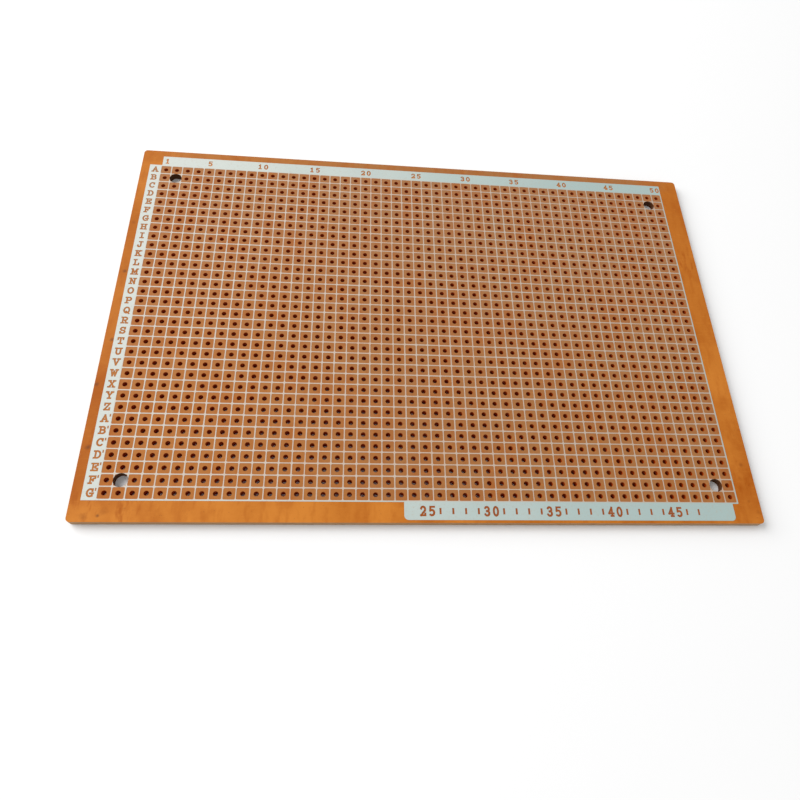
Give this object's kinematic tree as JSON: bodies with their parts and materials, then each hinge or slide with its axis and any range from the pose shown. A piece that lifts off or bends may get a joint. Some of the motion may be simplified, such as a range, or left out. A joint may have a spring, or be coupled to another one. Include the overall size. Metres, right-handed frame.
{
  "type": "prototype board",
  "caption": "Flat rectangular single-sided prototype board with a square grid of lead holes, copper pads underneath, a printed cell grid on top and corner mounting holes.",
  "frame": {"origin": "centre of the board's underside, level with the lower faces of the copper pads", "axes": "+X along the rows towards the last column, +Y towards the first row, +Z out of the printed face"},
  "size_m": [0.1366, 0.093, 0.0017],
  "materials": {
    "laminate": "satin phenolic paper, orange brown with a mottled tone",
    "copper": "bare copper foil under a thin clear lacquer",
    "ink": "matte screen-printed ink, pale mint white"
  },
  "bodies": {
    "root": {"laminate": "laminate", "corner_pads": "copper", "legend": "ink", "legend_rows": "ink", "legend_columns": "ink"}
  },
  "joints": []
}
